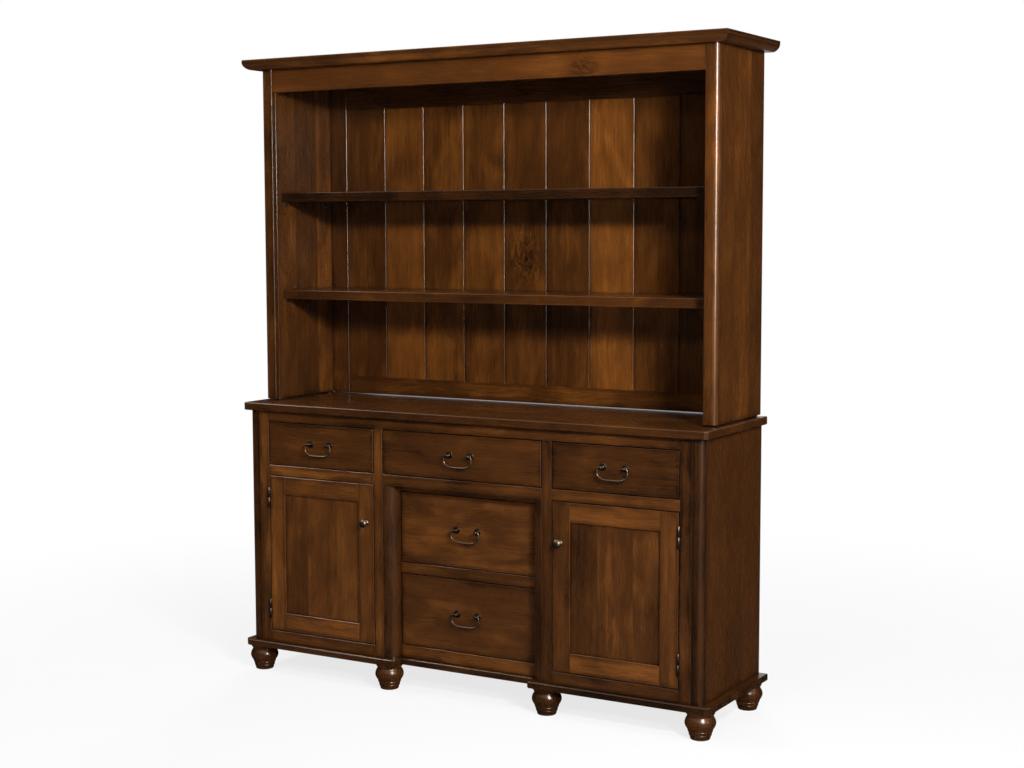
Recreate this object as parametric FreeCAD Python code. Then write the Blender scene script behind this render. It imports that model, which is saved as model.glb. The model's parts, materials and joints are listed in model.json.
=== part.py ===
import FreeCAD, Part
import math
import os

# Dresser with hutch: a breakfront base on six turned feet, with an open hutch on top.
# Millimetres.  +X right, +Y towards the wall, +Z up, origin on the floor under the
# middle of the whole piece.  Depths ("d") are measured back from the front plane of
# the base, and widths from the centre line.  Paired pieces are drawn on the right
# and mirrored to the left.

os.makedirs("parts", exist_ok=True)
Vector = FreeCAD.Vector
ORIGIN = Vector(0, 0, 0)
ACROSS = Vector(1, 0, 0)
UP = Vector(0, 0, 1)

# ---------------------------------------------------------------- driving sizes
total_height = 2034.0
case_half = 820.0            # half width of the base case and of the hutch
case_depth = 434.0           # front plane of the base to the wall
knob_reach = 28.0            # how far the door knobs stand in front

foot_height = 85.0
foot_toe = 29.0              # radii of the turned foot
foot_bulge = 46.0
foot_neck = 38.6
foot_cap = 43.0
plinth_thick = 20.0
plinth_half = 849.0
plinth_reach = 16.0          # plinth in front of the face that it follows
plinth_clip = 16.0           # 45 degree corner of the plinth
plinth_inner = 244.0         # where the side plinths end at the recess
plinth_edge = 2.4            # upper edge taken off
foot_inset = 47.0            # foot centre inside the plinth's edges

top_height = 906.0           # serving height
top_thick = 25.0
top_half = 838.0
top_reach = 19.0
top_clip = 10.0
top_round = 4.0
top_under_edge = 2.0

board = 20.0                 # framing, fronts, sides and posts
panel_board = 18.0           # inner boards of the carcase
sheet = 6.0                  # thin panels
arris = 1.2                  # sharp edges taken off

door_outer = 746.0           # half widths of the openings in the base
door_inner = 324.0
centre_half = 291.0
recess_half = 249.0
recess_depth = 42.0          # how far the centre stack is set back
post_width = 36.0
post_round = 14.0
gap = 3.0                    # round inset fronts

row_low = 701.0              # opening of the top row of drawers
row_high = 846.0
door_low = 143.0
door_high = 667.0
stack = [("upper_deep", 416.0, 646.0), ("lower_deep", 146.0, 381.0)]
partition_in = 300.0
back_d = 424.0               # back panel of the base

cupboard_shelf_top = 404.0
cupboard_shelf_d = 60.0
cleat_width = 16.0
cleat_height = 22.0
slack = 1.0                  # side play of loose shelves and drawers

hutch_d = 84.0               # front of the hutch posts
hutch_gap = 5.0              # hutch stands this far above the tabletop
back_gap = 2.5               # its back frame comes lower
hutch_inner = 778.0          # half width between the hutch sides
hutch_inner_round = 3.0
pad_width = 30.0
pad_inset = 8.0              # front pads stand this far into the hutch's opening
pad_outset = 5.0             # rear pads stand this far outside it
pad_front = 12.0             # first pad behind the front of the hutch
pad_rear = 10.0              # last pad in front of the back panel
frieze_low = 1927.0
crown_thick = 33.0
crown_half = 866.0
crown_d = 39.0
crown_width = 58.0
crown_cove = 26.0            # round under the crown
crown_round = 3.0
frame_d = 406.0              # hutch back frame
frame_stile = 69.0
frame_low_rail = 55.0
frame_top_rail = 117.0
back_board_count = 9
back_board_thick = 12.0
back_board_inset = 3.0
vee = 3.0                    # chamfer of the joints between back boards
tongue_reach = 6.0
tongue_thick = 4.0
shelves = [("upper", 1599.0), ("lower", 1275.0)]
shelf_thick = 30.0
shelf_d = 134.0
shelf_round = 3.0
clip_places = [151.0, 373.0]
clip_width = 12.0
clip_height = 16.0
clip_reach = 11.0
clip_thick = 1.6

side_thick = 12.0            # drawer sides
drawer_side_gap = 6.0
drawer_rise = 5.0            # drawer box above the lower edge of its opening
bottom_rise = 8.0            # drawer bottom above the lower edge of the sides
box_share = 0.85             # height of the box in its opening
row_box = 376.0              # lengths of the drawer boxes
stack_box = 340.0
guide_width = 11.0
guide_height = 30.0

stile = 60.0                 # door stiles and rails
panel_recess = 7.0
groove = 8.0                 # depth of grooves that hold panels
knob_x = 354.0
knob_z = 540.0
knob_radius = 13.5
knob_shoulder = 20.6         # where the knob's dome begins

pull_centres = 76.0
pull_rise = 6.0              # pulls sit above the middle of the fronts
pull_reach = 14.0            # bail axis in front of the drawer front
rosette_radius = 12.0
rosette_waist = 10.4
rosette_thick = 2.4
petals = 6
head_half = 4.9              # bored head of the pull post
head_flat = 0.6              # flat share of its sides
bail_half = 49.5
bail_drop = 36.5
bail_radius = 2.4
bail_sides = 6
bail_overhang = 6.0          # how far the pins pass the middle of the heads
grip_half = 18.0
shoulder_bend = 6.0
lower_bend = 14.0
lower_turn = 55.0            # degrees of the tight part of the lower bend
fit = 0.05                   # radial clearance of turning pins

hinge_length = 64.0
hinge_inset = 40.0           # hinge end to door end
hinge_axis_x = 745.0
hinge_axis_d = -4.2
barrel_radius = 3.5
barrel_sides = 12
hinge_pin_radius = 1.5
leaf_thick = 0.9
leaf_margin = 2.0            # leaf short of the board's back
knuckle_gap = 0.3

# ---------------------------------------------------------------- derived sizes
face_y = knob_reach - (case_depth + knob_reach) / 2
case_low = foot_height + plinth_thick
case_high = top_height - top_thick
case_wall = case_half - board
partition_out = partition_in + panel_board
post_in = case_half - post_width
dust_low = row_low - panel_board
floor_high = case_low + panel_board
hutch_low = top_height + hutch_gap
back_low = top_height + back_gap
hutch_high = total_height - crown_thick
closeness = 0.01


# ---------------------------------------------------------------- shop helpers
def save(name, solids):
    """Write one node; several solids become one compound."""
    shape = solids[0] if len(solids) == 1 else Part.makeCompound(solids)
    shape.exportStep("parts/" + name + ".step")
    print(name, len(solids))


def mirrored(shape):
    return shape.mirror(ORIGIN, ACROSS)


def both(shape):
    """The left and right copies of a piece drawn on the right."""
    return [mirrored(shape), shape]


def save_pair(name, shape):
    save(name + "_left", [mirrored(shape)])
    save(name + "_right", [shape])


def block(x0, x1, d0, d1, z0, z1):
    """Board between two corners, given in any order across."""
    corner = Vector(min(x0, x1), face_y + d0, z0)
    return Part.makeBox(abs(x1 - x0), d1 - d0, z1 - z0, corner)


def plan(points, z0, z1):
    """Prism from a plan outline of (x, d) points."""
    corners = [Vector(x, face_y + d, z0) for x, d in points]
    face = Part.Face(Part.makePolygon(corners + corners[:1]))
    return face.extrude(Vector(0, 0, z1 - z0))


def rod(x, d, z, radius, length):
    """Upright cylinder."""
    return Part.makeCylinder(radius, length, Vector(x, face_y + d, z), UP)


def turned(outline):
    """Turn an outline of ("line", r, z) and ("arc", mid r, mid z, r, z) steps about Z."""
    here = ORIGIN
    edges = []
    for step in outline:
        end = Vector(step[-2], 0, step[-1])
        if step[0] == "arc":
            edges.append(Part.Arc(here, Vector(step[1], 0, step[2]), end).toShape())
        else:
            edges.append(Part.makeLine(here, end))
        here = end
    edges.append(Part.makeLine(here, ORIGIN))
    return Part.Face(Part.Wire(edges)).revolve(ORIGIN, UP, 360)


def edges_where(shape, test):
    found = []
    for edge in shape.Edges:
        points = [vertex.Point for vertex in edge.Vertexes]
        if len(points) == 2 and test(points[0], points[1]):
            found.append(edge)
    return found


def rounded(shape, radius, test):
    return shape.makeFillet(radius, edges_where(shape, test))


def chamfered(shape, size, test):
    return shape.makeChamfer(size, edges_where(shape, test))


def near(value, target):
    return abs(value - target) < closeness


def in_front(d):
    """Edges in the upright plane at depth d."""
    return lambda a, b: near(a.y, face_y + d) and near(b.y, face_y + d)


def level_in_front(d):
    """Level edges in the upright plane at depth d."""
    return lambda a, b: in_front(d)(a, b) and near(a.z, b.z)


def upright_at(x, d):
    return lambda a, b: in_front(d)(a, b) and near(a.x, x) and near(b.x, x)


def shown_at(z):
    """Edges at height z, except those along the wall."""
    back = face_y + case_depth

    def test(a, b):
        at_level = near(a.z, z) and near(b.z, z)
        return at_level and not (near(a.y, back) and near(b.y, back))
    return test


def rail(x0, x1, d, z0, z1):
    """Level rail with the two long front edges taken off."""
    return chamfered(block(x0, x1, d, d + board, z0, z1), arris, level_in_front(d))


# ---------------------------------------------------------------- feet and plinth
def foot():
    """Turned bun foot: taper, full bulge, hollow neck and cap."""
    return turned([("line", foot_toe, 0), ("line", 36.8, 28.5), ("line", foot_bulge, 49.0),
                   ("line", foot_neck, 71.5), ("line", foot_cap, foot_height),
                   ("line", 0, foot_height)])


def make_feet():
    outer_x = plinth_half - foot_inset
    inner_x = plinth_inner + foot_inset
    front_d = foot_inset - plinth_reach
    solids = []
    for x, d in ((outer_x, front_d), (inner_x, front_d), (outer_x, case_depth - foot_inset)):
        piece = foot()
        piece.translate(Vector(x, face_y + d, 0))
        solids += both(piece)
    save("feet", solids)


def make_plinth():
    """Two side plinths with clipped corners and one set back between them."""
    clip = plinth_clip
    half_clip = clip / 2
    side = plan([(plinth_inner, case_depth), (plinth_inner, half_clip - plinth_reach),
                 (plinth_inner + half_clip, -plinth_reach),
                 (plinth_half - clip, -plinth_reach),
                 (plinth_half, clip - plinth_reach),
                 (plinth_half, case_depth)], foot_height, case_low)

    def side_edges(a, b):
        at_inner = near(a.x, plinth_inner) and near(b.x, plinth_inner)
        return shown_at(case_low)(a, b) and not at_inner
    side = chamfered(side, plinth_edge, side_edges)
    centre_d = recess_depth - plinth_reach
    centre = block(-plinth_inner, plinth_inner, centre_d, case_depth, foot_height, case_low)

    def centre_edge(a, b):
        return level_in_front(centre_d)(a, b) and near(a.z, case_low)
    centre = chamfered(centre, plinth_edge, centre_edge)
    save("plinth", both(side) + [centre])


# ---------------------------------------------------------------- base carcase
def corner_post(x_in, d, z0, z1, inner_round):
    """Post with a large round on its outer corner and a small one inside."""
    post = block(x_in, case_half, d, d + board, z0, z1)
    post = rounded(post, post_round, upright_at(case_half, d))
    return rounded(post, inner_round, upright_at(x_in, d))


def return_post():
    """Solid post whose corner is a hollow quarter round into the recess."""
    radius = centre_half - recess_half
    turn = math.radians(45)
    start_y = face_y + recess_depth - radius
    corner_y = face_y + recess_depth
    back_y = corner_y + board
    start = Vector(centre_half, start_y, case_low)
    end = Vector(recess_half, corner_y, case_low)
    middle = Vector(centre_half - radius * math.sin(turn),
                    corner_y - radius * math.cos(turn), case_low)
    corners = [end, Vector(recess_half, back_y, case_low),
               Vector(centre_half, back_y, case_low), start]
    sides = [Part.makeLine(a, b) for a, b in zip(corners, corners[1:])]
    wire = Part.Wire([Part.Arc(start, middle, end).toShape()] + sides)
    return Part.Face(wire).extrude(Vector(0, 0, door_high - case_low))


def make_case_ends():
    save_pair("base_side", block(case_wall, case_half, board, case_depth, case_low, case_high))
    save_pair("base_post", corner_post(post_in, 0, case_low, case_high, arris))
    save_pair("return_post", return_post())


def make_face_frame():
    end_stile = block(door_outer, post_in, 0, board, case_low, case_high)
    end_stile = chamfered(end_stile, arris, upright_at(door_outer, 0))
    mullion = block(centre_half, door_inner, 0, board, case_low, row_high)
    mullion = chamfered(mullion, arris, upright_at(door_inner, 0))
    save("face_stiles", both(end_stile) + both(mullion))

    rails = [rail(-door_outer, door_outer, 0, row_high, case_high),
             rail(-centre_half, centre_half, 0, door_high, row_low)]
    rails += both(rail(door_inner, door_outer, 0, door_high, row_low))
    rails += both(rail(door_inner, door_outer, 0, case_low, door_low))
    levels = [case_low]
    for name, low, high in reversed(stack):
        levels += [low, high]
    levels.append(dust_low)
    for low, high in zip(levels[0::2], levels[1::2]):
        rails.append(rail(-recess_half, recess_half, recess_depth, low, high))
    save("face_rails", rails)


def make_carcase():
    save("partitions", both(block(partition_in, partition_out, board, back_d,
                                  case_low, case_high)))
    dust = block(partition_out, case_wall, board, back_d, dust_low, row_low)
    centre_dust = block(-partition_in, partition_in, board, back_d, dust_low, row_low)
    save("dust_panels", both(dust) + [centre_dust])
    floor = block(partition_out, case_wall, board, back_d, case_low, floor_high)
    centre_floor = block(-partition_in, partition_in, recess_depth + board, back_d,
                         case_low, floor_high)
    save("base_bottom", both(floor) + [centre_floor])
    save("base_back", [block(-case_wall, case_wall, back_d, back_d + sheet,
                             case_low, case_high)])


def make_cupboard_shelves():
    """A loose shelf in each cupboard, lying on two cleats."""
    z = cupboard_shelf_top - panel_board
    d = cupboard_shelf_d
    shelf = block(partition_out + slack, case_wall - slack, d, back_d - slack,
                  z, cupboard_shelf_top)
    save("cupboard_shelves", both(chamfered(shelf, arris, level_in_front(d))))
    cleats = []
    for x, way in ((partition_out, 1), (case_wall, -1)):
        cleats += both(block(x, x + way * cleat_width, d, back_d, z - cleat_height, z))
    save("shelf_cleats", cleats)


def make_tabletop():
    clip = top_clip
    slab = plan([(-top_half, case_depth), (-top_half, clip - top_reach),
                 (clip - top_half, -top_reach), (top_half - clip, -top_reach),
                 (top_half, clip - top_reach), (top_half, case_depth)],
                case_high, top_height)
    slab = rounded(slab, top_round, shown_at(top_height))
    slab = chamfered(slab, top_under_edge, shown_at(case_high))
    save("tabletop", [slab])


# ---------------------------------------------------------------- drawers
class Bay:
    """One drawer: its opening, the plane of its front and its box."""

    def __init__(self, name, x0, x1, z0, z1, d, box_length):
        self.name = name
        self.x0, self.x1, self.z0, self.z1, self.d = x0, x1, z0, z1, d
        self.box_x0 = x0 + drawer_side_gap
        self.box_x1 = x1 - drawer_side_gap
        self.box_low = z0 + drawer_rise
        self.box_high = self.box_low + box_share * (z1 - z0 - 2 * drawer_rise)
        self.box_d = d + board
        self.box_end = self.box_d + box_length
        self.middle = (x0 + x1) / 2
        self.pull_z = (z0 + z1) / 2 + pull_rise


bays = [Bay("left", -door_outer, -door_inner, row_low, row_high, 0, row_box),
        Bay("centre", -centre_half, centre_half, row_low, row_high, 0, row_box),
        Bay("right", door_inner, door_outer, row_low, row_high, 0, row_box)]
for stack_name, stack_low, stack_high in stack:
    bays.append(Bay(stack_name, -recess_half, recess_half, stack_low, stack_high,
                    recess_depth, stack_box))


def drawer_front(bay):
    front = block(bay.x0 + gap, bay.x1 - gap, bay.d, bay.d + board,
                  bay.z0 + gap, bay.z1 - gap)
    return chamfered(front, arris, in_front(bay.d))


def drawer_box(bay):
    """Two sides, with a back and a bottom let in between them."""
    x0, x1, t = bay.box_x0, bay.box_x1, side_thick
    inner_end = bay.box_end - t
    base = bay.box_low + bottom_rise
    sides = [block(x0, x0 + t, bay.box_d, bay.box_end, bay.box_low, bay.box_high),
             block(x1 - t, x1, bay.box_d, bay.box_end, bay.box_low, bay.box_high)]
    back = block(x0 + t, x1 - t, inner_end, bay.box_end, base, bay.box_high)
    bottom = block(x0 + t, x1 - t, bay.box_d, inner_end, base, base + sheet)
    return sides + [back, bottom]


def make_runners():
    """Guide strips beside every drawer, and bearers under the deep ones."""
    solids = []
    for bay in bays:
        deep = bay.d > 0
        foot_z = bay.box_low - slack if deep else row_low
        for edge, way in ((bay.box_x0, -1), (bay.box_x1, 1)):
            side = edge + way * slack
            solids.append(block(side, side + way * guide_width, bay.box_d, back_d,
                                foot_z, foot_z + guide_height))
            if deep:
                lowest = bay.z0 == stack[-1][1]
                under = floor_high if lowest else foot_z - panel_board
                solids.append(block(edge - way * side_thick, way * partition_in,
                                    bay.box_d, back_d, under, foot_z))
    save("drawer_runners", solids)


# ---------------------------------------------------------------- swing bail pulls
def cut_square(half, z):
    """Corners of a square with its corners cut, in the plane at height z."""
    cut = half * head_flat
    corners = [(half, -cut), (half, cut), (cut, half), (-cut, half),
               (-half, cut), (-half, -cut), (-cut, -half), (cut, -half)]
    return [Vector(x, y, z) for x, y in corners]


def faceted(outlines):
    """Solid with flat sides between matching outlines, one above the other."""
    faces = [Part.Face(Part.makePolygon(ring + ring[:1])) for ring in (outlines[0], outlines[-1])]
    for low, high in zip(outlines, outlines[1:]):
        for i in range(len(low)):
            corners = [low[i - 1], low[i], high[i], high[i - 1]]
            faces.append(Part.Face(Part.makePolygon(corners + corners[:1])))
    return Part.Solid(Part.Shell(faces))


def rosette():
    """Flat petalled plate."""
    points = []
    for step in range(2 * petals):
        radius = rosette_radius if step % 2 == 0 else rosette_waist
        turn = math.pi * step / petals
        points.append(Vector(radius * math.cos(turn), radius * math.sin(turn), 0))
    return Part.Face(Part.makePolygon(points + points[:1])).extrude(UP * rosette_thick)


def pull_post(x, d, z):
    """Rosette, waisted neck and a head bored across for the bail's pin."""
    sections = [(5.4, rosette_thick), (3.2, 6.2), (head_half, 10.2),
                (head_half, 17.0), (3.4, 19.0)]
    stem = faceted([cut_square(half, out) for half, out in sections])
    bore = Part.makeCylinder(bail_radius + fit, 4 * head_half,
                             Vector(-2 * head_half, 0, pull_reach), ACROSS)
    post = rosette().fuse(stem).removeSplitter().cut(bore)
    post.rotate(ORIGIN, ACROSS, 90)
    post.translate(Vector(x, face_y + d, z))
    return post


def bend(centre_x, centre_z, radius, start, end, steps):
    """Points along a bend of the bail, angles in degrees from +X."""
    points = []
    for step in range(steps + 1):
        turn = math.radians(start + (end - start) * step / steps)
        points.append(Vector(centre_x + radius * math.cos(turn), 0,
                             centre_z + radius * math.sin(turn)))
    return points


def bail(x, d, z):
    """Bent rod: its ends turn in the posts, and its grip hangs flat below."""
    turn = math.radians(lower_turn)
    lower_x = bail_half - lower_bend
    wide_bend = (lower_x + lower_bend * math.cos(turn) - grip_half) / math.cos(turn)
    wide_z = wide_bend - bail_drop
    lower_z = wide_z - (wide_bend - lower_bend) * math.sin(turn)
    right = [Vector(pull_centres / 2 - bail_overhang, 0, 0)]
    right += bend(bail_half - shoulder_bend, -shoulder_bend, shoulder_bend, 90, 0, 3)
    right += bend(lower_x, lower_z, lower_bend, 0, -lower_turn, 2)
    right += bend(grip_half, wide_z, wide_bend, -lower_turn, -90, 2)[1:]
    left = [Vector(-point.x, 0, point.z) for point in reversed(right)]
    section = []
    for step in range(bail_sides + 1):
        around = math.pi * (2 * step + 1) / bail_sides
        section.append(right[0] + Vector(0, bail_radius * math.cos(around),
                                         bail_radius * math.sin(around)))
    mitred = 1
    body = Part.makePolygon(right + left).makePipeShell([Part.makePolygon(section)],
                                                        True, False, mitred)
    body.translate(Vector(x, face_y + d - pull_reach, z))
    return body


def make_drawers():
    for bay in bays:
        name = "drawer_" + bay.name
        save(name + "_front", [drawer_front(bay)])
        save(name + "_box", drawer_box(bay))
        posts = [pull_post(bay.middle + way * pull_centres / 2, bay.d, bay.pull_z)
                 for way in (-1, 1)]
        save(name + "_pull_posts", posts)
        save(name + "_bail", [bail(bay.middle, bay.d, bay.pull_z)])


# ---------------------------------------------------------------- doors
def door_stile(x_edge, way):
    """Stile from its outer edge towards the panel (way is +1 or -1)."""
    z0, z1 = door_low + gap, door_high - gap
    x_in = x_edge + way * stile
    piece = block(x_edge, x_in, 0, board, z0, z1)
    piece = piece.cut(block(x_in - way * groove, x_in, panel_recess, panel_recess + sheet,
                            z0, z1))
    piece = chamfered(piece, arris, upright_at(x_edge, 0))
    return chamfered(piece, arris, upright_at(x_in, 0))


def door_rail(x0, x1, low, high, groove_low):
    """Rail between the stiles, with a groove and stub tenons at its ends."""
    slot = (panel_recess, panel_recess + sheet)
    piece = block(x0, x1, 0, board, low, high)
    piece = piece.fuse(block(x0 - groove, x1 + groove, *slot, low, high)).removeSplitter()
    piece = piece.cut(block(x0 - groove, x1 + groove, *slot, groove_low, groove_low + groove))
    return chamfered(piece, arris, level_in_front(0))


def door_frame():
    x0, x1 = door_inner + gap, door_outer - gap
    z0, z1 = door_low + gap, door_high - gap
    rail_x = (x0 + stile, x1 - stile)
    return [door_stile(x0, 1), door_stile(x1, -1),
            door_rail(*rail_x, z0, z0 + stile, z0 + stile - groove),
            door_rail(*rail_x, z1 - stile, z1, z1 - stile)]


def door_panel():
    reach = groove - slack
    edge = gap + stile - reach
    return block(door_inner + edge, door_outer - edge, panel_recess, panel_recess + sheet,
                 door_low + edge, door_high - edge)


def door_knob():
    """Turned mushroom knob: flared foot, waist, and a domed head in two slopes."""
    knob = turned([("line", 8.0, 0), ("line", 5.6, 8.0), ("line", knob_radius, knob_shoulder),
                   ("line", 9.6, 26.0), ("line", 0, knob_reach)])
    knob.rotate(ORIGIN, ACROSS, 90)
    knob.translate(Vector(knob_x, face_y, knob_z))
    return knob


def hinge_leaf(x0, x1, z0, knuckle_low, knuckle_high):
    """Leaf plate with one knuckle of the barrel rolled from it."""
    d_front = hinge_axis_d + barrel_radius + knuckle_gap
    plate = block(x0, x1, d_front, board - leaf_margin, z0, z0 + hinge_length)
    tongue = block(x0, x1, hinge_axis_d, d_front, knuckle_low, knuckle_high)
    around = []
    for side in range(barrel_sides):
        turn = 2 * math.pi * side / barrel_sides
        around.append((hinge_axis_x + barrel_radius * math.cos(turn),
                       hinge_axis_d + barrel_radius * math.sin(turn)))
    knuckle = plan(around, knuckle_low, knuckle_high)
    return plate.fuse([tongue, knuckle]).removeSplitter()


def case_leaf(z0):
    """Lower knuckle with the pin standing in it, on the case."""
    middle = z0 + hinge_length / 2 - knuckle_gap / 2
    leaf = hinge_leaf(door_outer - leaf_thick, door_outer, z0, z0, middle)
    pin = rod(hinge_axis_x, hinge_axis_d, middle - 1, hinge_pin_radius, hinge_length / 2)
    return leaf.fuse(pin).removeSplitter()


def door_leaf(z0):
    """Bored upper knuckle, on the door."""
    edge = door_outer - gap
    top = z0 + hinge_length
    middle = z0 + hinge_length / 2 + knuckle_gap / 2
    leaf = hinge_leaf(edge, edge + leaf_thick, z0, middle, top)
    return leaf.cut(rod(hinge_axis_x, hinge_axis_d, z0, hinge_pin_radius + fit, hinge_length))


def make_doors():
    lows = [door_low + gap + hinge_inset, door_high - gap - hinge_inset - hinge_length]
    fixed = []
    for z in lows:
        fixed += both(case_leaf(z))
    save("hinge_case_leaves", fixed)
    save_node = {"frame": door_frame(), "panel": [door_panel()],
                 "hardware": [door_knob()] + [door_leaf(z) for z in lows]}
    for name, pieces in save_node.items():
        save("door_left_" + name, [mirrored(piece) for piece in pieces])
        save("door_right_" + name, pieces)


# ---------------------------------------------------------------- hutch
def make_hutch_ends():
    """Thick end boards, rounded posts in front of them, and the pads below."""
    save_pair("hutch_side", block(hutch_inner, case_half, hutch_d + board, back_d,
                                  hutch_low, hutch_high))
    save_pair("hutch_post", corner_post(hutch_inner, hutch_d, hutch_low, hutch_high,
                                        hutch_inner_round))
    pads = []
    for x, d in ((hutch_inner - pad_inset, hutch_d + pad_front),
                 (hutch_inner + pad_outset, back_d - pad_rear - pad_width)):
        pads += both(block(x, x + pad_width, d, d + pad_width, top_height, hutch_low))
    save("hutch_pads", pads)


def make_frieze():
    d = hutch_d + 2
    frieze = block(-hutch_inner, hutch_inner, d, d + board, frieze_low, hutch_high)

    def low_edge(a, b):
        return level_in_front(d)(a, b) and near(a.z, frieze_low)
    save("hutch_frieze", [rounded(frieze, hutch_inner_round, low_edge)])


def crown_section(outward):
    """Face of the crown's section: eased top edge and a deep round below."""
    low, high = hutch_high, total_height
    turn = math.radians(45)
    bend_in = crown_cove * (1 - math.cos(turn))
    soft_in = crown_round * (1 - math.cos(turn))

    def point(out, z):
        return Vector(outward.x * out, outward.y * out, z)
    start = point(-crown_cove, low)
    shoulder = point(0, low + crown_cove)
    brow = point(0, high - crown_round)
    crest = point(-crown_round, high)
    inner_high = point(-crown_width, high)
    inner_low = point(-crown_width, low)
    edges = [Part.makeLine(inner_low, start),
             Part.Arc(start, point(-bend_in, low + bend_in), shoulder).toShape(),
             Part.makeLine(shoulder, brow),
             Part.Arc(brow, point(-soft_in, high - soft_in), crest).toShape(),
             Part.makeLine(crest, inner_high),
             Part.makeLine(inner_high, inner_low)]
    return Part.Face(Part.Wire(edges))


def make_crown():
    """Front and side mouldings, mitred where they meet, round a flat top board."""
    front_y = face_y + crown_d
    front = crown_section(Vector(0, -1, 0))
    front.translate(Vector(-crown_half, front_y, 0))
    front = front.extrude(Vector(2 * crown_half, 0, 0))
    side = crown_section(ACROSS)
    side.translate(Vector(crown_half, front_y, 0))
    side = side.extrude(Vector(0, case_depth - crown_d, 0))
    x, d, w = crown_half, crown_d, crown_width
    z0, z1 = hutch_high - 1, total_height + 1
    behind_mitre = plan([(x + 1, d - 1), (x + 1, d + w), (x - w, d + w)], z0, z1)
    before_mitre = plan([(x + 1, d - 1), (x - w, d + w), (x - w - 1, d + w),
                         (x - w - 1, d - 1)], z0, z1)
    front = front.cut(behind_mitre).cut(mirrored(behind_mitre))
    side = side.cut(before_mitre)
    save("crown_moulding", [front] + both(side))
    inner = crown_half - crown_width
    save("hutch_top", [block(-inner, inner, crown_d + crown_width, case_depth,
                             hutch_high, hutch_high + panel_board)])


def back_plank(number, inner, low, high):
    """One back board: tongue on its right edge, groove and vees on the edges that meet."""
    d0 = frame_d + back_board_inset
    d1 = d0 + back_board_thick
    pitch = 2 * inner / back_board_count
    first = number == 0
    last = number == back_board_count - 1
    left = number * pitch - inner - (groove if first else 0)
    right = (number + 1) * pitch - inner + (groove if last else 0)
    plank = block(left, right, d0, d1, low, high)
    tongue_d = (d0 + d1) / 2
    if not last:
        plank = chamfered(plank, vee, upright_at(right, d0))
        plank = plank.fuse(block(right, right + tongue_reach, tongue_d,
                                 tongue_d + tongue_thick, low, high)).removeSplitter()
    if not first:
        plank = chamfered(plank, vee, upright_at(left, d0))
        plank = plank.cut(block(left, left + tongue_reach + slack, tongue_d,
                                tongue_d + tongue_thick, low, high))
    return plank


def make_hutch_back():
    """Frame grooved for upright boards that are tongued together."""
    slot0 = frame_d + back_board_inset
    slot1 = slot0 + back_board_thick
    inner = hutch_inner - frame_stile
    low = hutch_low + frame_low_rail
    high = hutch_high - frame_top_rail
    slot = block(-inner - groove, inner + groove, slot0, slot1, low - groove, high + groove)
    pieces = both(block(inner, hutch_inner, frame_d, back_d, back_low, hutch_high))
    for z0, z1 in ((back_low, low), (high, hutch_high)):
        pieces.append(block(-inner, inner, frame_d, back_d, z0, z1))
    save("back_frame", [piece.cut(slot) for piece in pieces])
    save("back_boards", [back_plank(number, inner, low - groove, high + groove)
                         for number in range(back_board_count)])


def shelf_clip(d, top):
    """L-shaped metal support flat against the hutch side, under a shelf."""
    wall = hutch_inner - clip_thick
    plate = block(wall, hutch_inner, d - clip_width / 2, d + clip_width / 2,
                  top - clip_height, top)
    tab = block(hutch_inner - clip_reach, wall, d - clip_width / 2, d + clip_width / 2,
                top - clip_thick, top)
    return plate.fuse(tab).removeSplitter()


def make_hutch_shelves():
    half = hutch_inner - slack
    clips = []
    for name, top in shelves:
        shelf = block(-half, half, shelf_d, frame_d - slack, top - shelf_thick, top)
        save("hutch_shelf_" + name, [rounded(shelf, shelf_round, level_in_front(shelf_d))])
        for d in clip_places:
            clips += both(shelf_clip(d, top - shelf_thick))
    save("shelf_clips", clips)


make_feet()
make_plinth()
make_case_ends()
make_face_frame()
make_carcase()
make_cupboard_shelves()
make_tabletop()
make_runners()
make_drawers()
make_doors()
make_hutch_ends()
make_frieze()
make_crown()
make_hutch_back()
make_hutch_shelves()
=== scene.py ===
# %% [markdown]
# # A dresser with a hutch, in stained maple
#
# The construction model gives every board, foot, pull and hinge its place. This
# lesson dresses it: the boards get eased edges and a grain that runs the right way,
# the metalwork is made again in full detail, and a plain studio is put around it.

# %% Load the fixed frame
import bmesh
import bpy
import json
import math
import random
from mathutils import Matrix, Vector
from types import SimpleNamespace


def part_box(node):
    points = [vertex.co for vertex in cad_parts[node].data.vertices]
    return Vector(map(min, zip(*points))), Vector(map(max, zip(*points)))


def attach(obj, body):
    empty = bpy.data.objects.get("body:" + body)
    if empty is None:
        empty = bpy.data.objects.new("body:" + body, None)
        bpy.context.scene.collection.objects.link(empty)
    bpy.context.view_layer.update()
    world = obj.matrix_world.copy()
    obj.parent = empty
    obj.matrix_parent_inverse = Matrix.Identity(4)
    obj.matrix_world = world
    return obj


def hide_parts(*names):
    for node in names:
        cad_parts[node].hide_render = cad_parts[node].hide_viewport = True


MM = 0.001
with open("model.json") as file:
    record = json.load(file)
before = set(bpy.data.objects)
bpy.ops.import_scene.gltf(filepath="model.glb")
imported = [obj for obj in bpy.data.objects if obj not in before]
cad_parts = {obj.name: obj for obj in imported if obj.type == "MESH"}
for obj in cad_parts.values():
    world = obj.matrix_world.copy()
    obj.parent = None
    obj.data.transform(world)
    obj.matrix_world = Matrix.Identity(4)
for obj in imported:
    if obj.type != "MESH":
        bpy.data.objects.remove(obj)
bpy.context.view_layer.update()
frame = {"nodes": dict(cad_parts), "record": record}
slot_of = {node: thing.data.materials[0].name.split(".")[0]
           for node, thing in frame["nodes"].items()}

# %% [markdown]
# ## Where the eye stands
#
# A tall dresser looks right from a little to one side at about eye height. Setting
# the camera by its place and its turning (yaw, pitch and roll) keeps it repeatable;
# aiming it with a constraint would hide those numbers.

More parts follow.
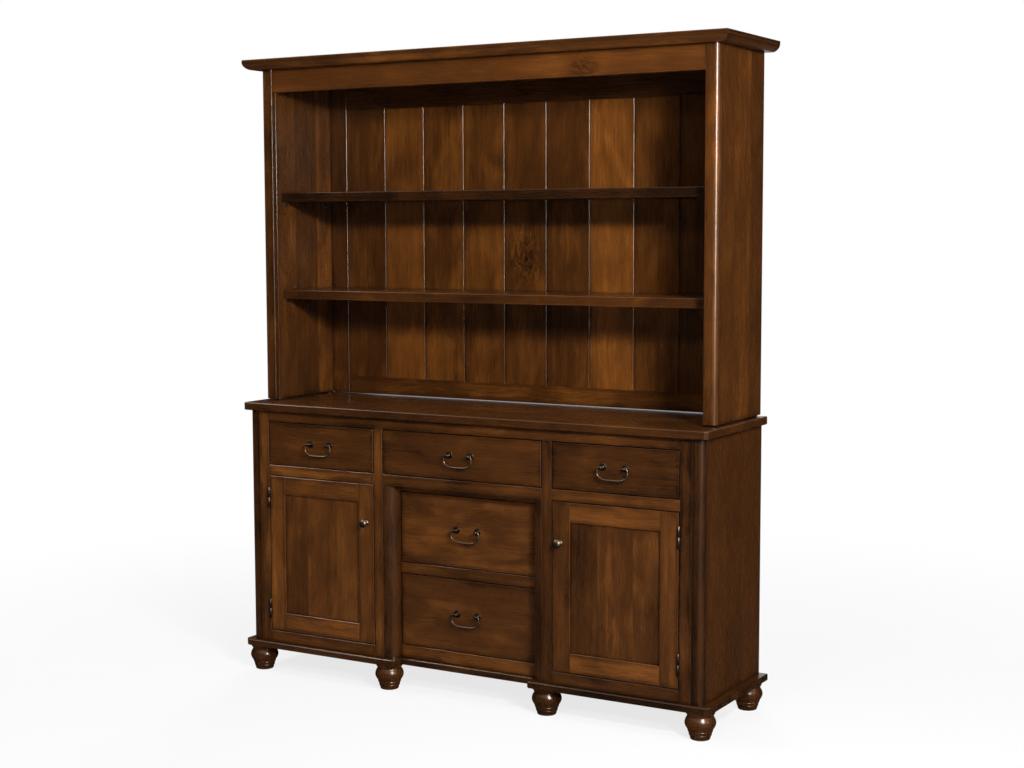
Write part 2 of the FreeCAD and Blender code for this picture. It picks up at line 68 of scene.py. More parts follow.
# %% Camera
PICTURE_WIDTH = 1024
FOCAL_PIXELS = 1686.5
SENSOR = 36.0
EYE = Vector((2.7525, -4.5795, 1.4847))
YAW, PITCH, ROLL = 0.5299, 0.0931, -0.0027


def placed(name, data):
    """A new object in the scene, made from its data."""
    thing = bpy.data.objects.new(name, data)
    bpy.context.scene.collection.objects.link(thing)
    return thing


camera_data = bpy.data.cameras.new("camera")
camera_data.sensor_width = SENSOR
camera_data.lens = FOCAL_PIXELS / PICTURE_WIDTH * SENSOR
camera = placed("camera", camera_data)
turn = Matrix.Rotation(YAW, 4, "Z") @ Matrix.Rotation(math.pi / 2 - PITCH, 4, "X")
camera.matrix_world = Matrix.Translation(EYE) @ turn @ Matrix.Rotation(ROLL, 4, "Z")
bpy.context.scene.camera = camera
print("lens", round(camera_data.lens, 2), "mm")

# %% [markdown]
# ## One board at a time
#
# A node of the model can hold several boards, and each one comes from its own piece
# of the tree. So the boards are taken apart again: the faces of a board follow each
# other, and it is whole once every edge has been met twice. Splitting by loose parts
# would work too, but this keeps the boards in their order.

# %% Take a node apart into boards
MICRON = 1e6


def boards_in(mesh):
    """One list of faces for each solid; a face is a list of corner points."""
    boards, board, open_edges = [], [], set()
    for face in mesh.polygons:
        points = [mesh.vertices[i].co for i in face.vertices]
        keys = [tuple(round(c * MICRON) for c in p) for p in points]
        board.append((keys, points))
        for a, b in zip(keys, keys[1:] + keys[:1]):
            open_edges ^= {(min(a, b), max(a, b))}
        if not open_edges:
            boards.append(board)
            board = []
    return boards


print("boards in the hutch back", len(boards_in(frame["nodes"]["back_boards"].data)))

# %% [markdown]
# ## Eased edges
#
# A cabinet maker breaks every sharp edge with a few strokes of paper, and that thin
# band is what catches the light. A bevel modifier could do it, but cutting it with
# bmesh tells which faces are new, so that wear and a painted highlight can go there.

# %% Ease the sharp edges of a board
EASE, SOFT_EASE = 0.8 * MM, 1.5 * MM  # a plain chamfer, and a rounder one in the vees
FLAT = math.radians(0.6)  # faces that turn less than this become one
SHARP = math.radians(60)


def eased(board, ease, cuts):
    """A bmesh of the board with its sharp outer edges taken off, and those new faces."""
    bm = bmesh.new()
    corner = {}
    for keys, points in board:
        for key, point in zip(keys, points):
            if key not in corner:
                corner[key] = bm.verts.new(point)
        bm.faces.new([corner[key] for key in keys])
    bm.normal_update()
    bmesh.ops.dissolve_limit(bm, angle_limit=FLAT, verts=bm.verts, edges=bm.edges)
    bm.normal_update()
    sharp = [e for e in bm.edges if e.is_manifold and e.is_convex
             and e.calc_face_angle() > SHARP]
    cut = bmesh.ops.bevel(bm, geom=sharp, offset=ease, offset_type="OFFSET", segments=cuts,
                          profile=0.5, affect="EDGES", clamp_overlap=True)
    worn = set(cut["faces"])
    bm.normal_update()
    return bm, worn


trial, worn = eased(boards_in(frame["nodes"]["tabletop"].data)[0], EASE, 1)
print("tabletop faces", len(trial.faces), "of them eased", len(worn))
trial.free()

# %% [markdown]
# ## Turning
#
# Feet, knobs and pull posts are all turned, so one lathe makes them: an outline of
# radius and height, smoothed, then spun round. A screw modifier does the same, but it
# can't end in a single point as neatly.

# %% A flowing outline and a lathe
FACING = Matrix.Rotation(math.pi / 2, 4, "X")  # what is turned about Z points forward
SIDEWAYS = Matrix.Rotation(math.pi / 2, 4, "Y")  # and here it points along X


def flowing(points, cuts=6):
    """A smooth line through the points; a point written twice keeps its corner."""
    line = []
    for i in range(len(points) - 1):
        a, b = Vector(points[i]), Vector(points[i + 1])
        if (b - a).length == 0:
            continue
        before = a if i == 0 else Vector(points[i - 1])
        after = b if i + 2 >= len(points) else Vector(points[i + 2])
        for cut in range(cuts):
            t = cut / cuts
            near, far = (b - before) / 2, (after - a) / 2
            line.append((2 * t ** 3 - 3 * t ** 2 + 1) * a + (t ** 3 - 2 * t ** 2 + t) * near
                        + (3 * t ** 2 - 2 * t ** 3) * b + (t ** 3 - t ** 2) * far)
    return line + [Vector(points[-1])]


def on_circle(place, radius, angle, height):
    """A point of something round, in millimetres about the Z axis of a place."""
    return place @ (Vector((radius * math.cos(angle), radius * math.sin(angle), height)) * MM)


def bridge(bm, rings):
    """Faces from each ring of corners to the next; a ring of one corner is a tip."""
    for low, high in zip(rings, rings[1:]):
        for k in range(max(len(low), len(high))):
            corners = [low[(k - 1) % len(low)], low[k % len(low)],
                       high[k % len(high)], high[(k - 1) % len(high)]]
            bm.faces.new(sorted(set(corners), key=corners.index))


def lathe(bm, outline, segments=64, place=Matrix.Identity(4)):
    """Spin an outline of (radius, height) in millimetres into bm; radius 0 is one point."""
    rings = []
    for radius, height in outline:
        around = [2 * math.pi * k / segments for k in range(segments if radius > 0 else 1)]
        rings.append([bm.verts.new(on_circle(place, radius, a, height)) for a in around])
    bridge(bm, rings)
    for ring in (rings[0], rings[-1]):
        if len(ring) > 1:
            bm.faces.new(ring)


# %% [markdown]
# ## Drilling
#
# Bores and pin holes are cut with a boolean, which is exact even where a hole meets an
# edge. The hutch shelves stand on pins in rows of holes, so they can be moved.

# %% A cutter
def cut_out(bm, cutter_bm):
    """A new bmesh: bm without the shapes in cutter_bm. Both are used up."""
    things = []
    for part in (bm, cutter_bm):
        bmesh.ops.recalc_face_normals(part, faces=part.faces)
        mesh = bpy.data.meshes.new("cut")
        part.to_mesh(mesh)
        part.free()
        things.append(placed("cut", mesh))
    cut = things[0].modifiers.new("cut", "BOOLEAN")
    cut.object, cut.operation, cut.solver = things[1], "DIFFERENCE", "EXACT"
    view = bpy.context.evaluated_depsgraph_get()
    left = bmesh.new()
    left.from_mesh(bpy.data.meshes.new_from_object(things[0].evaluated_get(view)))
    for thing in things:
        bpy.data.objects.remove(thing)
    left.normal_update()
    return left


# %% Rows of holes for the shelf pins
HOLE, DEEP, HOLE_STEP = 2.5, 9.0, 0.032  # radius and depth in millimetres, step in metres
SHELF_Z = (1.559, 1.235)
BELOW, ABOVE = 3, 6  # holes under and over the one that is used
ROW_Y = (-0.052, 0.170)
DRILLED = {"hutch_side_left": -1, "hutch_side_right": 1}
hole_z = [shelf + HOLE_STEP * k for shelf in SHELF_Z for k in range(-BELOW, ABOVE + 1)]


def pin_drill(node):
    """The holes on the inner face of a hutch side, every 32 mm about each shelf."""
    low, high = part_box(node)
    inner_x = high.x if DRILLED[node] < 0 else low.x
    drill = bmesh.new()
    for y in ROW_Y:
        for z in hole_z:
            lathe(drill, [(HOLE, -DEEP), (HOLE, DEEP)], segments=16,
                  place=Matrix.Translation((inner_x, y, z)) @ SIDEWAYS)
    return drill


print("pin holes in each side", len(ROW_Y) * len(hole_z))

# %% [markdown]
# ## Grain that belongs to the board
#
# Wood is a solid pattern: the rings run right through, so the face, the edge and the
# end grain of a board all belong together. An image pulled over the faces would break
# at every corner. Instead each board carries four hidden vectors. The first says how
# far along, across and through the board a point is. The second holds a number of its
# own, how wide the staves are that the board is glued up from, and how much paler or
# darker it took the stain. The third holds half its length and width, to find its
# edges, and how lively its figure is. The fourth holds the place and size of its knot.

# %% What is known of each board
FACTS = ("grain", "board", "half", "knot")
STAVE = 0.118
WIDE_STAVE = 0.4  # a drawer front or a back board is one board
NO_KNOT = (9.0, 9.0, 1.0)  # so far off that it never shows
TONES = [("hutch_shelf_upper", -0.36), ("hutch_post", 0.1), ("hutch_shelf", -0.05),
         ("base_post", -0.26), ("door_left", 0.16), ("door_right_frame", 0.12),
         ("door_right", -0.08), ("plinth", -0.08), ("right_front", -0.16),
         ("deep_front", -0.06), ("crown", -0.1), ("base_side_right", -0.12),
         ("return_post", -0.14), ("rails", 0.04)]
BOARD_TONES = {"back_boards": (0.05, 0.24, 0.22, -0.02, -0.06, -0.15, 0.2, 0.18, -0.04),
               "face_stiles": (0.0, -0.15, 0.08, -0.12)}
CALM = {"base_side_left": 0.4, "base_side_right": 0.4, "hutch_side_right": 0.7,
        "tabletop": 0.8}
KNOTS = {("back_boards", 4): (0.005, 1.380, 1.8), ("hutch_frieze", 0): (0.385, 1.954, 0.9),
         ("hutch_side_left", 0): (-0.069, 1.731, 0.35)}  # place across, height and size


def grain_frame(points):
    """Middle of a board, its axes in the order along, across, through, and half its size."""
    low = Vector([min(p[i] for p in points) for i in range(3)])
    high = Vector([max(p[i] for p in points) for i in range(3)])
    size = high - low
    order = sorted(range(3), key=lambda i: -size[i])
    return (low + high) / 2, order, size / 2


def tone_of(node, number):
    """How much paler or darker than the rest a board took the stain."""
    if node in BOARD_TONES:
        return BOARD_TONES[node][number]
    return next((tone for word, tone in TONES if word in node), 0.0)


def knot_in(node, number, middle, order):
    """Where the knot of a board is, along and across it, and how big."""
    if (node, number) not in KNOTS:
        return NO_KNOT
    place, height, size = KNOTS[(node, number)]
    faces_sideways = order[2] == 0
    spot = Vector((middle.x, place, height) if faces_sideways else (place, middle.y, height))
    away = spot - middle
    return (away[order[0]], away[order[1]], size)


print("knots", len(KNOTS), "named tones", len(TONES) + sum(map(len, BOARD_TONES.values())))

# %% [markdown]
# ## Dressing the boards
#
# Each wooden node becomes one mesh again, now with eased boards. The vectors are stored
# on its points, and a number on each face says whether it is a rubbed edge. Smooth
# shading with sharp creases and weighted normals keeps the big faces flat, so that the
# light runs over the narrow bands only.

# %% Helpers that write on a mesh
def write_facts(mesh, **facts):
    """Store a vector for every corner point of the mesh under each name."""
    for name, values in facts.items():
        mesh.attributes.new(name, "FLOAT_VECTOR", "POINT").data.foreach_set("vector", values)


def shade_smooth(mesh, crease):
    """Smooth shading, broken where the surface turns more than the crease angle."""
    mesh.polygons.foreach_set("use_smooth", [True] * len(mesh.polygons))
    mesh.set_sharp_from_angle(angle=crease)


# %% Dress a node
CREASE, SOFT_CREASE = math.radians(40), math.radians(50)
NARROW = 2.4 * MM  # a face slimmer than this is an edge
dressed = {}
draw = random.Random(7)


def dress(node, body):
    """Make the shown piece for a wooden node: eased, with grain and wear written on it."""
    verts, faces, wear = [], [], []
    facts = {fact: [] for fact in FACTS}
    soft = node == "back_boards"
    stave = WIDE_STAVE if soft or "front" in node else STAVE
    for number, board in enumerate(boards_in(frame["nodes"][node].data)):
        bm, worn = eased(board, SOFT_EASE if soft else EASE, 2 if soft else 1)
        if node in DRILLED:
            bm, worn = cut_out(bm, pin_drill(node)), set()
        middle, order, half = grain_frame([v.co for v in bm.verts])
        knot = knot_in(node, number, middle, order)
        seed = draw.uniform(0, 100)
        first = len(verts)
        bm.verts.index_update()
        for v in bm.verts:
            verts.append(tuple(v.co))
            away = v.co - middle
            facts["grain"].extend(away[i] for i in order)
            facts["board"].extend((seed, stave, tone_of(node, number)))
            facts["half"].extend((half[order[0]], half[order[1]], CALM.get(node, 1.0)))
            facts["knot"].extend(knot)
        for f in bm.faces:
            faces.append([first + v.index for v in f.verts])
            longest = max(e.calc_length() for e in f.edges)
            # faces on eased edges are marked; the colour makes them paler, partly as a painted
            # highlight
            wear.append(1.0 if f in worn or f.calc_area() / longest < NARROW else 0.0)
        bm.free()
    mesh = bpy.data.meshes.new(node)
    mesh.from_pydata(verts, [], faces)
    write_facts(mesh, **facts)
    mesh.attributes.new("wear", "FLOAT", "FACE").data.foreach_set("value", wear)
    shade_smooth(mesh, SOFT_CREASE if soft else CREASE)
    piece = placed(node + ".wood", mesh)
    piece.modifiers.new("even faces", "WEIGHTED_NORMAL").keep_sharp = True
    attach(piece, body)
    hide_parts(node)
    dressed[node] = piece


# %% Dress every wooden node
OTHER = ("pull_posts", "bail", "hardware", "hinge", "clips", "feet")  # not boards
body_of = {node: body for body, nodes in frame["record"]["behaviour"]["bodies"].items()
           for node in nodes}
for node in sorted(frame["nodes"]):
    if not any(word in node for word in OTHER):
        dress(node, body_of[node])
print("dressed", len(dressed), "nodes,",
      sum(len(p.data.polygons) for p in dressed.values()), "faces")

# %% [markdown]
# ## Stained maple
#
# Maple has a close, quiet grain. A dark stain brings out soft streaks, faint ring
# lines and cloudy patches, and a satin lacquer lies on top. The colour is built from
# those layers in that order. Each one reads the board's own vectors, so two boards that
# meet never share a pattern. A few helpers add the many shader nodes that this takes.

# %% Helpers that add shader steps
def step(tree, kind, wires=(), **settings):
    """Add a shader node, set it, and fill its sockets with values or with other outputs."""
    node = tree.nodes.new("ShaderNode" + kind)
    for name, value in settings.items():
        setattr(node, name, value)
    for key, value in dict(wires).items():
        if isinstance(value, bpy.types.NodeSocket):
            tree.links.new(value, node.inputs[key])
        else:
            node.inputs[key].default_value = value
    return node.outputs


def sums(tree, operation, a, b=0.0, c=0.0, clamp=False):
    """One step of arithmetic."""
    return step(tree, "Math", {0: a, 1: b, 2: c}, operation=operation, use_clamp=clamp)[0]


def linear(red, green, blue):
    """A colour named by its 0 to 255 screen values, as the renderer wants it."""
    def one(value):
        value = value / 255
        return value / 12.92 if value <= 0.04045 else ((value + 0.055) / 1.055) ** 2.4
    return (one(red), one(green), one(blue), 1.0)


def fresh(name):
    """A new material, its node tree and its shader."""
    material = bpy.data.materials.new(name)
    material.use_nodes = True
    tree = material.node_tree
    tree.nodes.clear()
    shader = tree.nodes.new("ShaderNodeBsdfPrincipled")
    output = tree.nodes.new("ShaderNodeOutputMaterial")
    tree.links.new(shader.outputs[0], output.inputs[0])
    return material, tree, shader


print("grey 128 is", round(linear(128, 128, 128)[0], 3), "to the renderer")


# %% Helpers for soft patterns
def noise(tree, place, scale, detail=2.0, rough=0.5, distortion=0.0):
    """Soft noise; scale is (along, across, through), in lumps per metre."""
    stretched = step(tree, "VectorMath", {0: place, 1: scale}, operation="MULTIPLY")[0]
    return step(tree, "TexNoise", {"Vector": stretched, "Scale": 1.0, "Detail": detail,
                                   "Roughness": rough, "Distortion": distortion})


def between(tree, value, low, high):
    """0 below low, 1 above high, smooth between."""
    return step(tree, "MapRange", {0: value, 1: low, 2: high, 3: 0.0, 4: 1.0},
                interpolation_type="SMOOTHSTEP")[0]


def fading(tree, value, low, high):
    """1 below low, 0 above high, smooth between."""
    return sums(tree, "SUBTRACT", 1.0, between(tree, value, low, high))


def mixed(tree, value, weight, total):
    """Add a layer: total plus weight times how far value is from its middle."""
    return sums(tree, "MULTIPLY_ADD", sums(tree, "SUBTRACT", value, 0.5), weight, total)


# %% [markdown]
# ## Staves
#
# A wide board is glued up from staves, each sawn from another place in the tree. So a
# stave gets random numbers of its own from the board's number and its place in the
# board. Cutting the mesh into staves would do too, but it would add seams for no gain.

# %% Read the board and find the stave
def read_board(tree):
    """What is written on the board that is being shaded, each number as an output."""
    grain, board, half, knot = [step(tree, "Attribute", attribute_name=fact)[1] for fact in FACTS]
    here = SimpleNamespace(grain=grain, knot=knot)
    here.wear = step(tree, "Attribute", attribute_name="wear")[2]
    here.along, here.across, here.through = step(tree, "SeparateXYZ", {0: grain})[0:3]
    here.seed, here.stave_width, here.stain = step(tree, "SeparateXYZ", {0: board})[0:3]
    here.half_along, here.half_across, here.lively = step(tree, "SeparateXYZ", {0: half})[0:3]
    return here


def own_stave(tree, here):
    """A chance for the stave, three shifts for its pattern, and the place across it."""
    stave = sums(tree, "ROUND", sums(tree, "DIVIDE", here.across, here.stave_width))
    key = step(tree, "CombineXYZ", {0: here.seed, 1: stave})[0]
    chance = step(tree, "TexWhiteNoise", {"Vector": key})
    shift = step(tree, "SeparateColor", {0: chance["Color"]})
    middle = sums(tree, "MULTIPLY", stave, here.stave_width)
    return chance["Value"], shift, sums(tree, "SUBTRACT", here.across, middle)


print("staves are", round(STAVE / MM), "mm wide")

# %% [markdown]
# ## Knots
#
# Where a branch grew, the grain parts and flows round it, and the stain goes in dark. An
# image of a knot would sit on the grain like a sticker. Here the knot pushes the pattern
# aside before any layer is drawn, and then adds its dark eye and swirl.

# %% The knot bends the grain and takes more stain
OVAL = 0.7  # a knot is longer along the board than across it
BENDS = (0.006, 0.06)  # full bend up to the first distance, none past the second
PUSH, PUSH_SOFT = 0.02, 0.008  # how far aside the grain goes, and how gently that begins
KNOT_EYE = (0.001, 0.006)
CURL, CURL_SHOWS = (34, 46, 46), (0.36, 0.68)
EYE_DARK, SWIRL_DARK = 0.6, 0.48


def near_knot(tree, here):
    """Distance to the knot for its size, how near that is (0 to 1), and the push aside."""
    to_knot = step(tree, "VectorMath", {0: here.grain, 1: here.knot}, operation="SUBTRACT")[0]
    ahead, beside = step(tree, "SeparateXYZ", {0: to_knot})[0:2]
    knot_size = step(tree, "SeparateXYZ", {0: here.knot})[2]
    oval = step(tree, "CombineXYZ", {0: sums(tree, "MULTIPLY", ahead, OVAL), 1: beside})[0]
    reach = step(tree, "VectorMath", {0: oval}, operation="LENGTH")[1]
    reach = sums(tree, "DIVIDE", reach, knot_size)
    close = fading(tree, reach, *BENDS)
    width = sums(tree, "ADD", sums(tree, "ABSOLUTE", beside), PUSH_SOFT)
    aside = sums(tree, "MULTIPLY", sums(tree, "DIVIDE", beside, width), -PUSH)
    return reach, close, sums(tree, "MULTIPLY", aside, close)


def knot_mark(tree, here, reach, close):
    """How much darker the knot is: an eye in a swirl of curled grain."""
    eye = fading(tree, reach, *KNOT_EYE)
    curl = noise(tree, here.grain, CURL, detail=3.0, rough=0.6, distortion=2.0)["Fac"]
    swirl = sums(tree, "MULTIPLY", between(tree, curl, *CURL_SHOWS), close)
    swirl = sums(tree, "MULTIPLY", swirl, SWIRL_DARK)
    return sums(tree, "MAXIMUM", sums(tree, "MULTIPLY", eye, EYE_DARK), swirl)


print("a knot of size 1 bends the grain out to", round(BENDS[1] / MM), "mm")

# %% [markdown]
# ## Growth rings
#
# A board is a slice through rings, and where the saw met them nearly flat they show as
# arches. They are drawn as distance from a heart that lies behind the board, and a slow
# sway keeps them from being perfect. A wave texture draws rings too, but plain arithmetic
# gives control over the thin dark line that ends each one.

# %% How the grain runs
APART = 9.0  # metres along the tree from one stave's pattern to another's
HEART_ASIDE, HEART_DEEP = 0.11, 0.06  # how much the place of the heart varies
HEART_BEHIND = 0.014
SWAY, SWAY_ACROSS, SWAY_THROUGH, SWAY_RINGS = (3.5, 9, 9), 0.035, 0.02, 0.07
RING_WIDTH = 0.0065
RING_EDGE = 4.0  # higher is a thinner dark line at the end of each ring


def flow(tree, here, shift, across, push):
    """The place to read noise at, and how much of a ring's dark line a point is in."""
    u = sums(tree, "MULTIPLY_ADD", shift[2], APART, here.along)
    v = sums(tree, "SUBTRACT", across, HEART_ASIDE / 2)
    v = sums(tree, "ADD", sums(tree, "MULTIPLY_ADD", shift[0], HEART_ASIDE, v), push)
    w = sums(tree, "ADD", here.through, HEART_BEHIND)
    w = sums(tree, "MULTIPLY_ADD", shift[1], HEART_DEEP, w)
    straight = step(tree, "CombineXYZ", {0: u, 1: v, 2: w})[0]
    sway = step(tree, "SeparateColor", {0: noise(tree, straight, SWAY)["Color"]})
    v_way = mixed(tree, sway[0], SWAY_ACROSS, v)
    w_way = mixed(tree, sway[1], SWAY_THROUGH, w)
    place = step(tree, "CombineXYZ", {0: u, 1: v_way, 2: w_way})[0]
    v_ring = mixed(tree, sway[1], SWAY_RINGS, v)
    squares = sums(tree, "MULTIPLY_ADD", v_ring, v_ring, sums(tree, "MULTIPLY", w_way, w_way))
    rings = sums(tree, "MULTIPLY", sums(tree, "SQRT", squares), 1 / RING_WIDTH)
    return place, sums(tree, "POWER", sums(tree, "FRACT", rings), RING_EDGE)


print("growth rings every", RING_WIDTH / MM, "mm")

# %% [markdown]
# ## Stain
#
# Stain leaves wide clouds, streaks along the grain, fine fibre and short dark flecks, and
# one stave takes more of it than the next. Each is a layer of noise that is stretched
# along the board. A sum of layers is easier to tune than one clever pattern.

# %% Layers of stain
CLOUD, STREAK, FIBRE, FLECK = (5, 11, 11), (2.6, 44, 44), (9, 260, 260), (22, 260, 260)
STREAKS, FIBRES, STAVES, RING_LINES = 0.38, 0.08, 0.34, 0.13  # how much each one shows
FLECK_FROM, FLECK_DARK = 0.67, 3.0


def stain_layers(tree, here, place, late, chance, figure):
    """The tone of the stain, and the cloud and fibre that later layers read again."""
    cloud = noise(tree, place, CLOUD, detail=5.0, rough=0.6, distortion=0.5)["Fac"]
    streak = noise(tree, place, STREAK, detail=3.0, rough=0.55)["Fac"]
    fibre = noise(tree, place, FIBRE, detail=3.0, rough=0.6)["Fac"]
    fleck = sums(tree, "SUBTRACT", noise(tree, place, FLECK)["Fac"], FLECK_FROM, clamp=True)
    tone = mixed(tree, cloud, figure, 0.0)
    tone = mixed(tree, streak, STREAKS * figure, tone)
    tone = mixed(tree, fibre, FIBRES, tone)
    tone = mixed(tree, chance, STAVES, tone)
    tone = sums(tree, "MULTIPLY_ADD", late, -RING_LINES * figure, tone)
    tone = sums(tree, "SUBTRACT", tone, sums(tree, "MULTIPLY", fleck, FLECK_DARK))
    middle = sums(tree, "ADD", here.stain, 0.5)
    return sums(tree, "MULTIPLY_ADD", tone, here.lively, middle), cloud, fibre


print("a fibre is about", round(1 / FIBRE[1] / MM, 1), "mm wide")

# %% [markdown]
# ## Glaze
#
# A glaze was wiped over the stain. It came off the middle of each board and stayed near
# its edges, and use has rubbed the arrises pale; that paler band also serves as a painted
# highlight along every edge. The board's own size tells where its edges are. Ambient
# occlusion darkens corners, recesses and the places between parts: this is painted
# shade, which stands in also for glaze left in the corners. A mask painted by hand
# would need new work after each change.

# %% Glaze, rubbed edges with painted highlight, and colour with painted corner shade
GLAZE_WIDE, GLAZE_DRIFT, GLAZE_DARK = 0.016, 0.02, 0.16
# paler rubbed arrises: partly wear, partly a painted highlight along every edge
RUBBED_PALE_AND_SHEEN = 0.14
DARKEST, MIDDLE, LIGHT, PALEST = 0.03, 0.51, 0.86, 1.0  # tones where the colours stand
PALER = 1.6  # the palest, against the light one
# ambient occlusion darkens corners and gaps between parts: painted shade, which stands in also for
# glaze
CORNER_SHADE_REACH, CORNER_SHADE_SHOWS, CORNER_SHADE_KEEPS = 0.02, (0.25, 0.8), 0.5


def glazed(tree, here, cloud, tone):
    """The tone with glaze near the edges; arrises paler for wear and as painted highlight."""
    ends = sums(tree, "SUBTRACT", here.half_along, sums(tree, "ABSOLUTE", here.along))
    sides = sums(tree, "SUBTRACT", here.half_across, sums(tree, "ABSOLUTE", here.across))
    edge = mixed(tree, cloud, GLAZE_DRIFT, sums(tree, "MINIMUM", ends, sides))
    tone = sums(tree, "MULTIPLY_ADD", fading(tree, edge, 0.0, GLAZE_WIDE), -GLAZE_DARK, tone)
    # rubbed arrises made paler: wear, and a painted highlight
    return sums(tree, "MULTIPLY_ADD", here.wear, RUBBED_PALE_AND_SHEEN, tone, clamp=True)


def coloured(tree, tone, dark, middle, light):
    """The colour for a tone, darker in corners: painted shade from ambient occlusion, and glaze.
    """
    colours = tree.nodes.new("ShaderNodeValToRGB")
    tree.links.new(tone, colours.inputs[0])
    ramp = colours.color_ramp
    first, last = ramp.elements
    first.position, first.color = DARKEST, dark
    last.position, last.color = PALEST, [PALER * c for c in light[:3]] + [1.0]
    ramp.elements.new(MIDDLE).color = middle
    ramp.elements.new(LIGHT).color = light
    # painted shade: the colour is darkened where ambient occlusion finds nearby parts
    corner = step(tree, "AmbientOcclusion", {"Distance": CORNER_SHADE_REACH}, samples=4)[1]
    unshaded_share = between(tree, corner, *CORNER_SHADE_SHOWS)
    glaze = sums(tree, "MULTIPLY_ADD", unshaded_share, 1 - CORNER_SHADE_KEEPS, CORNER_SHADE_KEEPS)
    return step(tree, "VectorMath", {0: colours.outputs[0], 3: glaze}, operation="SCALE")[0]


print("glaze stays within", round(GLAZE_WIDE / MM), "mm of an edge")

# %% [markdown]
# ## Lacquer
#
# Lacquer dries even, but a little duller over open grain and along rubbed edges, and it
# sinks with the fibre by a few hundredths of a millimetre. A bump gives that, since
# geometry so fine would be far too heavy.

# %% The whole finish
OPEN_GRAIN, RUBBED_DULL = 0.1, 0.03
RIPPLE, RIPPLES, RING_SINKS = (18, 60, 60), 1.5, 0.35
WARM = (1.0, 0.9, 0.8, 1.0)


def lacquer(tree, shader, here, place, late, fibre, gloss, shine):
    """Set how the surface shines and how it ripples."""
    dull = sums(tree, "MULTIPLY_ADD", fibre, OPEN_GRAIN, gloss - OPEN_GRAIN / 2)
    dull = sums(tree, "MULTIPLY_ADD", here.wear, RUBBED_DULL, dull)
    tree.links.new(dull, shader.inputs["Roughness"])
    shader.inputs["IOR"].default_value = 1.5
    shader.inputs["Specular IOR Level"].default_value = shine
    shader.inputs["Specular Tint"].default_value = WARM
    height = sums(tree, "MULTIPLY_ADD", late, -RING_SINKS, fibre)
    ripple = noise(tree, place, RIPPLE, detail=1.0)["Fac"]
    height = sums(tree, "MULTIPLY_ADD", ripple, RIPPLES, height)
    bump = step(tree, "Bump", {"Strength": 0.12, "Distance": 0.0002, "Height": height})[0]
    tree.links.new(bump, shader.inputs["Normal"])


def stained_maple(name, dark, middle, light, gloss=0.27, figure=1.0, shine=0.46):
    """Stained and lacquered maple, from its dark, middle and light colours."""
    material, tree, shader = fresh(name)
    here = read_board(tree)
    chance, shift, across = own_stave(tree, here)
    reach, close, push = near_knot(tree, here)
    place, late = flow(tree, here, shift, across, push)
    tone, cloud, fibre = stain_layers(tree, here, place, late, chance, figure)
    tone = sums(tree, "SUBTRACT", tone, knot_mark(tree, here, reach, close))
    tone = glazed(tree, here, cloud, tone)
    tree.links.new(coloured(tree, tone, dark, middle, light), shader.inputs["Base Color"])
    lacquer(tree, shader, here, place, late, fibre, gloss, shine)
    return material


# %% [markdown]
# ## The finishes of the wood
#
# The case is stained dark, the frieze took a narrower range of tones, and drawer boxes
# are left clear. The top board of the hutch has stain but no lacquer, since nobody sees
# or touches it. One recipe with other colours makes all four, so they stay related.

# %% Finish every wooden piece
stain_tones = linear(26, 12, 4), linear(70, 38, 12), linear(116, 67, 23)
frieze_tones = linear(46, 23, 8), linear(82, 45, 15), linear(112, 64, 23)
clear_tones = linear(168, 128, 84), linear(196, 158, 110), linear(214, 180, 134)
finishes = {
    "stained_wood": stained_maple("stained maple", *stain_tones),
    "frieze_wood": stained_maple("stained frieze", *frieze_tones),
    "inner_wood": stained_maple("clear maple", *clear_tones, gloss=0.5, figure=0.6),
}
for node, piece in dressed.items():
    slot = slot_of[node]
    piece.data.materials.append(finishes[slot])
bare_stain = stained_maple("stain without lacquer", *stain_tones, gloss=0.75, shine=0.1)
dressed["hutch_top"].data.materials[0] = bare_stain
print("wood finishes", sorted(finishes), "of", len(bare_stain.node_tree.nodes), "steps")

# %% [markdown]
# ## Dark bronze
#
# The pulls, knobs and hinges are brass, darkened and then waxed. Handling keeps the
# high places brighter, and the recesses stay nearly black. Ambient occlusion tells high
# from deep, which saves painting a mask for every casting.

# %% Metal recipe and finishes
PATCHES, PITS = (160, 160, 160), (1400, 1400, 1400)  # lumps per metre
RECESS_REACH, RUBBED_VARIES, ROUGH_VARIES = 0.006, 0.7, 0.22


def patinated(name, bright, deep, rough):
    """Metal that is bright where it is rubbed and dark in its recesses."""
    material, tree, shader = fresh(name)
    shader.inputs["Metallic"].default_value = 1.0
    spot = step(tree, "TexCoord")["Object"]
    patches = noise(tree, spot, PATCHES, detail=3.0)["Fac"]
    pits = noise(tree, spot, PITS)["Fac"]
    corner = step(tree, "AmbientOcclusion", {"Distance": RECESS_REACH}, samples=4,
                  only_local=True)[1]
    rubbed = sums(tree, "SUBTRACT", patches, 0.5)
    rubbed = sums(tree, "MULTIPLY_ADD", rubbed, RUBBED_VARIES, corner, clamp=True)
    colour = step(tree, "Mix", {0: rubbed, 6: deep, 7: bright}, data_type="RGBA")[2]
    tree.links.new(colour, shader.inputs["Base Color"])
    dull = sums(tree, "MULTIPLY_ADD", patches, ROUGH_VARIES, rough - ROUGH_VARIES / 2)
    tree.links.new(dull, shader.inputs["Roughness"])
    bump = step(tree, "Bump", {"Strength": 0.2, "Distance": 0.00005, "Height": pits})[0]
    tree.links.new(bump, shader.inputs["Normal"])
    return material


